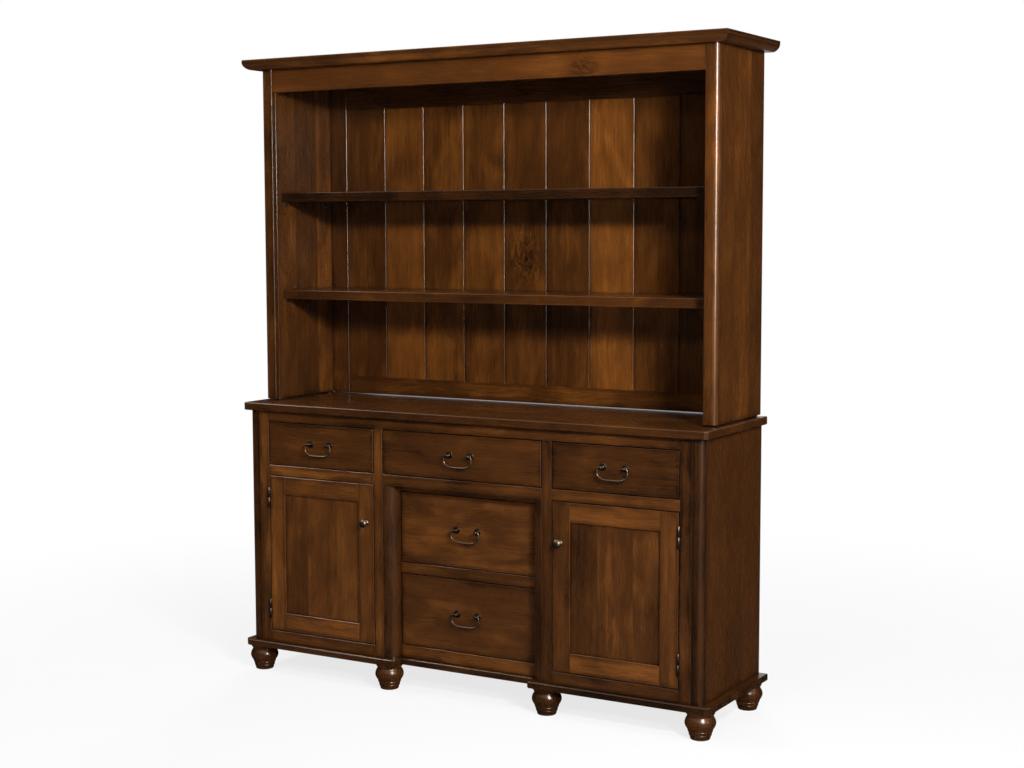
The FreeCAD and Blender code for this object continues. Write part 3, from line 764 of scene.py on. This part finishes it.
finishes["dark_metal"] = patinated("dark bronze", linear(70, 60, 50), linear(20, 17, 14), 0.36)
rubbed_metal = patinated("rubbed bronze", linear(118, 101, 83), linear(32, 27, 22), 0.41)
hinge_metal = patinated("hinge bronze", linear(88, 74, 66), linear(30, 24, 21), 0.38)
finishes["plated_steel"] = patinated("plated steel", linear(190, 186, 176),
                                     linear(96, 92, 86), 0.25)
frame["nodes"]["shelf_clips"].data.materials[0] = finishes["plated_steel"]
print("finishes by slot", sorted(finishes))

# %% [markdown]
# ## Turned feet
#
# A bun foot is turned on a lathe from a square blank, with its grain standing up. Two
# small beads near the toe are left by the corner of the chisel. The six are spun
# from one outline into one mesh. Copies that share a mesh would do too, but each foot
# has a grain of its own.

# %% Put a made shape into the scene
def shown(name, bm, body, slot, nodes=(), smooth=50):
    """Turn bm into a shown piece that rides on a body and may stand for CAD nodes."""
    mesh = bpy.data.meshes.new(name)
    bmesh.ops.recalc_face_normals(bm, faces=bm.faces)
    bm.to_mesh(mesh)
    bm.free()
    shade_smooth(mesh, math.radians(smooth))
    piece = placed(name, mesh)
    mesh.materials.append(finishes[slot])
    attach(piece, body)
    if nodes:
        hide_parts(*nodes)
    return piece


# %% Turn the six feet
FOOT = [(0, 0.0), (26.5, 0.0), (26.5, 0.0), (29.0, 1.2), (30.2, 6.0), (32.0, 12.2),
        (32.0, 12.2), (33.4, 13.4), (33.9, 15.0), (33.3, 16.6), (33.3, 16.6), (34.2, 20.0),
        (35.2, 22.6), (35.2, 22.6), (36.6, 23.8), (37.0, 25.4), (36.4, 27.0), (36.4, 27.0),
        (39.2, 32.0), (43.4, 39.0), (45.7, 45.5), (45.9, 51.5), (44.4, 58.0), (41.2, 64.5),
        (38.9, 69.0), (38.7, 71.6), (40.2, 74.2), (41.6, 75.6), (41.6, 75.6), (42.6, 77.0),
        (43.0, 80.0), (43.0, 85.0), (43.0, 85.0), (0, 85.0)]
PLINTH_INNER, INSET = 0.244, 0.047  # where the side plinths end, and a foot inside them
plinth_low, plinth_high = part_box("plinth")
outer_x, inner_x = plinth_high.x - INSET, PLINTH_INNER + INSET
front_y, back_y = plinth_low.y + INSET, plinth_high.y - INSET
places = [(s * x, y) for x, y in ((outer_x, front_y), (inner_x, front_y), (outer_x, back_y))
          for s in (-1, 1)]
foot_bm = bmesh.new()
for x, y in places:
    lathe(foot_bm, flowing(FOOT, cuts=3), segments=72, place=Matrix.Translation((x, y, 0)))
feet = shown("feet.turned", foot_bm, "case", "stained_wood", ["feet"])
print("feet at", [(round(x, 3), round(y, 3)) for x, y in places])

# %% Grain that stands up in each foot
FIRST_SEED, NEXT_SEED = 17, 3.7
BLANK, FOOT_TONE = 0.3, -0.25  # one stave wide, and stained darker than the case
grain, facts = [], []
for v in feet.data.vertices:
    x, y = min(places, key=lambda p: (p[0] - v.co.x) ** 2 + (p[1] - v.co.y) ** 2)
    grain.extend((v.co.z, v.co.x - x, v.co.y - y))
    facts.extend((FIRST_SEED + NEXT_SEED * places.index((x, y)), BLANK, FOOT_TONE))
far_off = list(NO_KNOT) * len(feet.data.vertices)
write_facts(feet.data, grain=grain, board=facts, half=far_off, knot=far_off)
feet.data.attributes.new("wear", "FLOAT", "FACE")
print("points in the feet", len(feet.data.vertices))

# %% [markdown]
# ## Swing pulls
#
# A pull is two cast posts on petalled rosettes, and a bail that turns in them. Spinning
# the posts keeps them perfectly smooth; the bore through each head is cut with a boolean,
# so that the rod really runs through it.

# %% Rosettes
ROSETTE, PETALS = 12.0, 6  # radius in millimetres
NOTCH, SINK, LOBE = 0.13, 0.35, 0.7  # how far the rim dips in and down between petals
DOME = [(0.0, 0.0, 0), (0.97, 0.0, 1), (1.0, 0.5, 1), (0.985, 1.1, 1), (0.92, 1.6, 1),
        (0.8, 2.05, 0.8), (0.68, 2.15, 0.5), (0.6, 1.9, 0.2), (0.55, 1.85, 0), (0.0, 2.4, 0)]


def rosette(bm, place, around=72):
    """Domed plate with petals round its rim; DOME is share of radius, height and petal."""
    rings = []
    for share, out, petal in DOME:
        ring = []
        for k in range(around):
            angle = 2 * math.pi * k / around
            dip = petal * (1 - abs(math.cos(PETALS * angle / 2)) ** LOBE)
            height = out * (1 - SINK * dip) if 0 < share < 1 else out
            spot = on_circle(place, ROSETTE * share * (1 - NOTCH * dip), angle, height)
            ring.append(bm.verts.new(spot))
        rings.append(ring)
    bridge(bm, rings)
    bmesh.ops.remove_doubles(bm, verts=bm.verts, dist=1e-7)


print("a rosette has", PETALS, "petals and is", 2 * ROSETTE, "mm wide")


# %% Posts
POST = [(0, 0), (5.8, 0), (5.8, 0), (5.8, 2.6), (5.0, 3.2), (3.5, 4.4), (3.0, 6.2), (3.2, 8.2),
        (4.3, 10.0), (5.1, 12.2), (5.3, 14.2), (4.9, 16.4), (3.7, 18.2), (2.0, 19.2), (0, 19.6)]
HEAD_OUT, BORE, DRILL = 14.0, 2.47, 60  # millimetres; the drill passes both heads


def pull_posts(node):
    """Both posts of a pull with their rosettes, bored for the bail."""
    low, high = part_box(node)
    z = (low.z + high.z) / 2
    cast, plates, cutter = bmesh.new(), bmesh.new(), bmesh.new()
    for x in (low.x + ROSETTE * MM, high.x - ROSETTE * MM):
        place = Matrix.Translation((x, high.y, z)) @ FACING
        lathe(cast, flowing(POST, cuts=4), segments=40, place=place)
        rosette(plates, place)
    middle = Matrix.Translation(((low.x + high.x) / 2, high.y - HEAD_OUT * MM, z))
    lathe(cutter, [(BORE, -DRILL), (BORE, DRILL)], segments=40, place=middle @ SIDEWAYS)
    shown(node + ".rosettes", plates, body_of[node], "dark_metal", [node])
    return shown(node + ".cast", cut_out(cast, cutter), body_of[node], "dark_metal", [node],
                 smooth=70)


posts = [pull_posts(node) for node in sorted(frame["nodes"]) if node.endswith("pull_posts")]
print("pull posts", len(posts), "faces each", len(posts[0].data.polygons))

# %% [markdown]
# ## Bails
#
# The rod leaves each post outward, curls down and runs flat along the grip, which swells
# a little. Its line is made of arcs, and rings of points are swept along it. A curve with
# a round bevel is quicker, but this way each point has its own thickness.

# %% The line of a bail
HALF, DROP, GRIP = 49.5, 36.5, 18.0  # half width, height and half of the flat grip
UPPER, LOWER, TURN = 6, 14.0, 55.0  # radii of the curl, and where the lower one ends


def arc(cx, cz, radius, start, end, steps):
    """Points round a centre, from one angle to another in degrees."""
    return [(cx + radius * math.cos(math.radians(start + (end - start) * i / steps)),
             cz + radius * math.sin(math.radians(start + (end - start) * i / steps)))
            for i in range(steps + 1)]


lower_x = HALF - LOWER
wide = (lower_x + LOWER * math.cos(math.radians(TURN)) - GRIP) / math.cos(math.radians(TURN))
wide_z = wide - DROP
lower_z = wide_z - (wide - LOWER) * math.sin(math.radians(TURN))
half_path = [(31.0, 0), (31.4, 0), (34, 0), (38, 0)]  # the pin end, inside the post
half_path += arc(HALF - UPPER, -UPPER, UPPER, 90, 0, 10)
half_path += arc(lower_x, lower_z, LOWER, 0, -TURN, 10)
half_path += arc(GRIP, wide_z, wide, -TURN, -90, 10)[1:]
rod = half_path + [(x, -DROP) for x in (12, 6, 0, -6, -12)]
rod += [(-x, z) for x, z in reversed(half_path)]
print("rod points", len(rod))


# %% Bend the bails
PIN_END, PIN_LOW = 31.2, -1  # the rounded end of a pin lies inside this and above this
PIN, ROD = 1.7, 2.4
SWELL, SWELL_HALF, SWELL_BELOW = 0.9, 44, -14  # how much, over what half width, below what


def rod_radius(x, z):
    """Rounded pin ends, a slim curl, and a grip that swells towards its middle."""
    if z > PIN_LOW:
        return PIN if abs(x) < PIN_END else ROD
    swell = max(0.0, 1 - (x / SWELL_HALF) ** 2) if z < SWELL_BELOW else 0.0
    return ROD + SWELL * swell


def sweep(bm, path, radii, sides=20):
    """Round rod along a path in the XZ plane, closed at both ends."""
    rings, out = [], Vector((0, 1, 0))
    angles = [2 * math.pi * k / sides for k in range(sides)]
    for i, point in enumerate(path):
        before, after = path[max(i - 1, 0)], path[min(i + 1, len(path) - 1)]
        up = (after - before).normalized().cross(out).normalized()
        rings.append([bm.verts.new(point + (up * math.cos(a) + out * math.sin(a)) * radii[i])
                      for a in angles])
    bridge(bm, rings)
    bm.faces.new(rings[0][::-1])
    bm.faces.new(rings[-1])


def bail(node):
    """The bent rod of one pull, hanging where its node hangs."""
    low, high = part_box(node)
    middle = Vector(((low.x + high.x) / 2, (low.y + high.y) / 2, high.z - ROD * MM))
    bm = bmesh.new()
    sweep(bm, [middle + Vector((x, 0, z)) * MM for x, z in rod],
          [rod_radius(x, z) * MM for x, z in rod])
    piece = shown(node + ".bent", bm, body_of[node], "dark_metal", [node], smooth=70)
    piece.data.materials[0] = rubbed_metal
    return piece


bails = [bail(node) for node in sorted(frame["nodes"]) if node.endswith("_bail")]
print("bails", len(bails), "faces each", len(bails[0].data.polygons))

# %% [markdown]
# ## Knobs
#
# The doors have small mushroom knobs: a foot, a slim neck and a domed cap with a fine
# step round it. They are turned like the feet; a squashed ball would lack the neck.

# %% Turn a knob
KNOB = [(0, 0), (8.0, 0), (8.0, 0), (8.2, 0.9), (7.4, 1.9), (6.2, 3.4), (5.4, 6.0), (5.3, 8.6),
        (6.6, 12.2), (9.6, 15.8), (12.4, 18.2), (13.4, 19.6), (13.4, 20.8), (12.9, 21.6),
        (12.2, 22.0), (12.2, 22.0), (11.6, 23.4), (9.6, 25.6), (6.6, 27.1), (3.2, 27.8), (0, 28.0)]
KNOB_X, KNOB_Z = 0.354, 0.540  # metres
FACE_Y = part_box("face_stiles")[0].y


def knob(door, side):
    """The knob of one door; side is -1 at the left and 1 at the right."""
    bm = bmesh.new()
    place = Matrix.Translation((side * KNOB_X, FACE_Y, KNOB_Z)) @ FACING
    lathe(bm, flowing(KNOB, cuts=4), segments=56, place=place)
    piece = shown(door + ".knob", bm, door, "dark_metal", [door + "_hardware"])
    piece.data.materials[0] = rubbed_metal
    return piece


print("a knob stands", KNOB[-1][1], "mm off its door")

# %% [markdown]
# ## Hinges
#
# The doors hang on hinges of which only the round barrel shows. It is turned too, with
# the crowned tips and the fine joint between its two knuckles that a plain cylinder
# would lack. The upper knuckle and its leaf ride on the door, the lower ones on the case.

# %% Parts of a hinge
AXIS_X, AXIS_OUT, BARREL, LENGTH = 745.0, -4.2, 3.5, 64.0  # millimetres
JOINT = 0.15  # half the gap between the two knuckles
CHAMFER, SHY, SHOULDER = 0.45, 0.2, 0.7  # how the ends of a knuckle are eased
TIP = [(0, 1.6), (1.2, 1.5), (2.5, 0.7), (2.9, -0.2), (2.9, -0.2)]  # radius and how far past
LEAF_EASE = 0.12 * MM


def plate(bm, low, high):
    """Thin leaf with its edges just broken."""
    low, high = Vector(low), Vector(high)
    made = bmesh.ops.create_cube(bm, size=1.0)["verts"]
    for v in made:
        v.co = (low + high) / 2 + v.co * (high - low)
    edges = {e for v in made for e in v.link_edges}
    bmesh.ops.bevel(bm, geom=list(edges), offset=LEAF_EASE, segments=1, profile=0.5,
                    affect="EDGES", clamp_overlap=True)


def knuckle(bm, side, z0, z1, top):
    """One knuckle with a crowned tip at its outer end."""
    slim = BARREL - CHAMFER
    body = [(slim, z0 + SHY), (BARREL, z0 + SHOULDER), (BARREL, z1 - SHOULDER), (slim, z1 - SHY)]
    if top:
        tip = flowing([(radius, z1 + past) for radius, past in reversed(TIP)], cuts=3)
        outline = [(0, z0 + SHY)] + body + tip
    else:
        tip = flowing([(radius, z0 - past) for radius, past in TIP], cuts=3)
        outline = tip + body + [(0, z1 - SHY)]
    axis = Matrix.Translation((side * AXIS_X * MM, FACE_Y + AXIS_OUT * MM, 0))
    lathe(bm, [(max(radius, 0.0), z) for radius, z in outline], segments=40, place=axis)


print("a hinge is", LENGTH, "mm high and its barrel", 2 * BARREL, "mm thick")


# %% Hang the doors and fit their knobs
DOORS = (("door_left", -1), ("door_right", 1))
LEAF_FRONT, LEAF_BACK = -0.0004, 0.018  # metres from the face frame
DOOR_LEAF, CASE_LEAF = (0.743, 0.7439), (0.7451, 0.746)
hinge_low, hinge_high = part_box("hinge_case_leaves")
HINGE_LOWS = (hinge_low.z / MM, hinge_high.z / MM - LENGTH)


def half_hinges(bm, side, top):
    """The knuckles and leaves of both hinges at one side: the door's half or the case's."""
    low_x, high_x = sorted(side * x for x in (DOOR_LEAF if top else CASE_LEAF))
    start, end = (LENGTH / 2 + JOINT, LENGTH) if top else (0, LENGTH / 2 - JOINT)
    for z in HINGE_LOWS:
        knuckle(bm, side, z + start, z + end, top)
        plate(bm, (low_x, FACE_Y + LEAF_FRONT, z * MM),
              (high_x, FACE_Y + LEAF_BACK, (z + LENGTH) * MM))


knobs, halves = [], []
for door, side in DOORS:
    knobs.append(knob(door, side))
    bm = bmesh.new()
    half_hinges(bm, side, True)
    halves.append(shown(door + ".hinge_leaves", bm, door, "dark_metal", [door + "_hardware"]))
bm = bmesh.new()
for door, side in DOORS:
    half_hinges(bm, side, False)
halves.append(shown("case.hinge_leaves", bm, "case", "dark_metal", ["hinge_case_leaves"]))
for half in halves:
    half.data.materials[0] = hinge_metal
print("knobs", len(knobs), "hinges", len(DOORS) * len(HINGE_LOWS), "in", len(halves), "meshes")

# %% [markdown]
# ## A plain studio: background and floor
#
# The dresser stands on pale paper that fades into a white background. The background is
# white only to the eye and to reflections; as a light it is weak, because light from all
# round would flatten the shapes. The usual curved sheet would hide the view from behind.

# %% White background
AMBIENT = 0.12  # how much light the background really gives


def white_to_eye(tree):
    """1 for rays that should see a white background."""
    path = step(tree, "LightPath")
    seen = sums(tree, "MAXIMUM", path["Is Camera Ray"], path["Is Glossy Ray"])
    return sums(tree, "MAXIMUM", seen, path["Is Transmission Ray"])


world = bpy.data.worlds.new("studio")
bpy.context.scene.world = world
world.use_nodes = True
sky = world.node_tree
sky.nodes.clear()
strength = sums(sky, "MULTIPLY_ADD", white_to_eye(sky), 1.0 - AMBIENT, AMBIENT)
glow = step(sky, "Background", {"Color": (1, 1, 1, 1), "Strength": strength})
sky.links.new(glow[0], sky.nodes.new("ShaderNodeOutputWorld").inputs[0])
print("background gives", AMBIENT, "of the light it shows")

# %% Paper floor
REACH = 14.0
FADE_FROM, FADE_TO, FADE_LEAST = 0.9, 3.4, 0.78  # metres from the middle, and share of white


def matte(name, grey):
    """A dull grey material that has no shine at all."""
    material, tree, shader = fresh(name)
    shader.inputs["Base Color"].default_value = (grey, grey, grey, 1)
    shader.inputs["Specular IOR Level"].default_value = 0.0
    return material, tree, shader


floor_mesh = bpy.data.meshes.new("floor")
floor_mesh.from_pydata([(-REACH, -REACH, 0), (REACH, -REACH, 0), (REACH, REACH, 0),
                        (-REACH, REACH, 0)], [], [(0, 1, 2, 3)])
floor = placed("floor", floor_mesh)
paper, tree, shader = matte("paper floor", 0.9)
shader.inputs["Roughness"].default_value = 0.9
away = step(tree, "VectorMath", {0: step(tree, "TexCoord")["Object"]}, operation="LENGTH")[1]
fade = step(tree, "MapRange", {0: away, 1: FADE_FROM, 2: FADE_TO, 3: FADE_LEAST, 4: 1.0},
            interpolation_type="SMOOTHSTEP")[0]
white = tree.nodes.new("ShaderNodeEmission").outputs[0]
blend = step(tree, "MixShader", {0: sums(tree, "MULTIPLY", fade, white_to_eye(tree)),
                                 1: shader.outputs[0], 2: white})[0]
output = next(n for n in tree.nodes if n.type == "OUTPUT_MATERIAL")
tree.links.new(blend, output.inputs[0])
floor_mesh.materials.append(paper)
print("floor", 2 * REACH, "m wide")

# %% [markdown]
# ## Lamps
#
# A small key lamp stands in front and to the right, with a weak one beside it and a high
# one at the left. They model the shapes and put highlights on the turnings. Three more
# only fill in, so they are hidden from reflections; a tall strip does the opposite, and
# only draws bright lines along the edges. One big lamp would be simpler, but lacquered
# wood turns grey where it mirrors one.

# %% Seven lamps
AIM = Vector((0, 0, 1.1))


def softbox(name, bearing, height, distance, size, power):
    """Lamp aimed at the middle of the dresser; bearing is degrees right of the front."""
    data = bpy.data.lights.new(name, "AREA")
    data.shape = "RECTANGLE"
    data.size, data.size_y = size
    data.energy = power
    lamp = placed(name, data)
    angle = math.radians(bearing)
    lamp.location = (distance * math.sin(angle), -distance * math.cos(angle), height)
    lamp.rotation_euler = (AIM - lamp.location).to_track_quat("-Z", "Y").to_euler()
    return lamp


modelling = [softbox("key lamp", 53.5, 2.15, 3.22, (0.52, 0.16), 90),
             softbox("side lamp", 82.3, 2.4, 6.0, (0.8, 0.8), 30),
             softbox("high left lamp", -75.7, 3.6, 2.84, (1.0, 0.5), 40)]
filling = [softbox("far lamp", 49.3, 3.0, 7.18, (1.5, 0.4), 240),
           softbox("front lamp", 4, 3.4, 5.0, (1.6, 0.5), 44),
           softbox("back lamp", 205, 3.2, 5.0, (2.0, 1.0), 110)]
for lamp in filling:
    lamp.visible_glossy = False
strip = softbox("strip lamp", 53.5, 1.72, 3.22, (0.3, 1.2), 76)
strip.visible_diffuse = False
print("lamps", [lamp.name for lamp in modelling + filling + [strip]])

# %% [markdown]
# ## Dark cloths
#
# Lacquer mirrors whatever stands around it, and white on every side would veil the
# colour of the wood. A studio hangs up black cloths, called flags, to keep a dark surface
# deep. Four hang round the dresser and one lies on the floor. Only reflections see them,
# so they take no light away.

# %% Hang the cloths
CLOTH_FROM, CLOTH_TALL = 8.0, 5.4  # metres
LYING_HALF, LYING_Z = 8, 0.003
SQUARE = ((-1, -1), (1, -1), (1, 1), (-1, 1))


def hung(name, middle, across, up):
    """A dark cloth about a middle point, from its half width and half height."""
    mesh = bpy.data.meshes.new(name)
    mesh.from_pydata([middle + a * across + b * up for a, b in SQUARE], [], [(0, 1, 2, 3)])
    mesh.materials.append(black_cloth)
    cloth = placed(name, mesh)
    cloth.visible_camera = cloth.visible_diffuse = cloth.visible_shadow = False
    cloth.visible_transmission = False
    return cloth


def flag(name, bearing, width):
    """A cloth that hangs at one side; bearing is degrees right of the front."""
    angle = math.radians(bearing)
    middle = Vector((CLOTH_FROM * math.sin(angle), -CLOTH_FROM * math.cos(angle), CLOTH_TALL / 2))
    across = Vector((math.cos(angle), math.sin(angle), 0)) * width / 2
    return hung(name, middle, across, Vector((0, 0, CLOTH_TALL / 2)))


black_cloth, tree, shader = matte("black cloth", 0.02)
shader.inputs["Roughness"].default_value = 1.0
cloths = [flag(name + " flag", bearing, width)
          for name, bearing, width in (("front", -32, 16), ("right", 58, 16),
                                       ("rear", 148, 16), ("left", 252, 11))]
cloths.append(hung("floor cloth", Vector((0, 0, LYING_Z)), Vector((LYING_HALF, 0, 0)),
                   Vector((0, LYING_HALF, 0))))
bpy.context.scene.view_settings.view_transform = "Standard"
print("cloths", [cloth.name for cloth in cloths])
